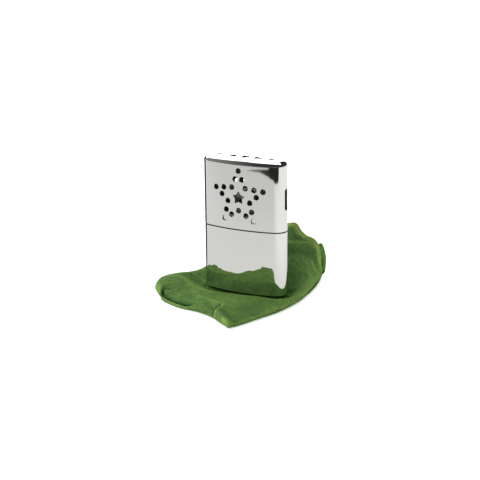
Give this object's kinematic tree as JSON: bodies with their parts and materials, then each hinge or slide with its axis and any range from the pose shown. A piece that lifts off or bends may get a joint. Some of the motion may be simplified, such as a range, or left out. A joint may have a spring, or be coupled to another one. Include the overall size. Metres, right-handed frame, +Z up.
{
  "type": "catalytic hand warmer",
  "caption": "Pocket catalytic hand warmer with a bowed metal case, star-vented lift-off cap and burner head, standing on its green velvet pouch.",
  "frame": {"origin": "on the surface the pouch lies on, straight below the middle of the upright warmer", "axes": "+Z up, along the warmer's height and the way the cap lifts off; +X along the warmer's width; -Y towards the front face, the side over the pouch's closed end"},
  "size_m": [0.1108, 0.1351, 0.1027],
  "materials": {
    "case_chrome": "bright chrome plate",
    "grille_metal": "plain pierced sheet",
    "burner_metal": "bright plate",
    "felt": "pressed felt",
    "cotton": "loose cotton",
    "catalyst_mat": "matted glass fibre",
    "velvet": "short-pile velvet"
  },
  "bodies": {
    "pouch": {"pouch_lower_panel": "velvet", "pouch_upper_panel": "velvet"},
    "tank": {"tank_shell": "case_chrome", "tank_top": "case_chrome", "filler_neck": "case_chrome", "neck_grille": "grille_metal", "wick_felt": "felt", "cotton_wadding": "cotton"},
    "burner": {"burner_socket": "burner_metal", "mat_tray": "burner_metal", "burner_cage": "burner_metal", "catalyst_mat": "catalyst_mat", "retainer_grid": "burner_metal"},
    "cap": {"cap_shell": "case_chrome"}
  },
  "joints": [
    {"name": "warmer_lift", "type": "slide", "parent": "pouch", "child": "tank", "axis": [0, 0, 1], "range_m": [0, 0.12]},
    {"name": "burner_lift", "type": "slide", "parent": "tank", "child": "burner", "axis": [0, 0, 1], "range_m": [0, 0.016]},
    {"name": "cap_lift", "type": "slide", "parent": "tank", "child": "cap", "axis": [0, 0, 1], "range_m": [0, 0.06]}
  ]
}
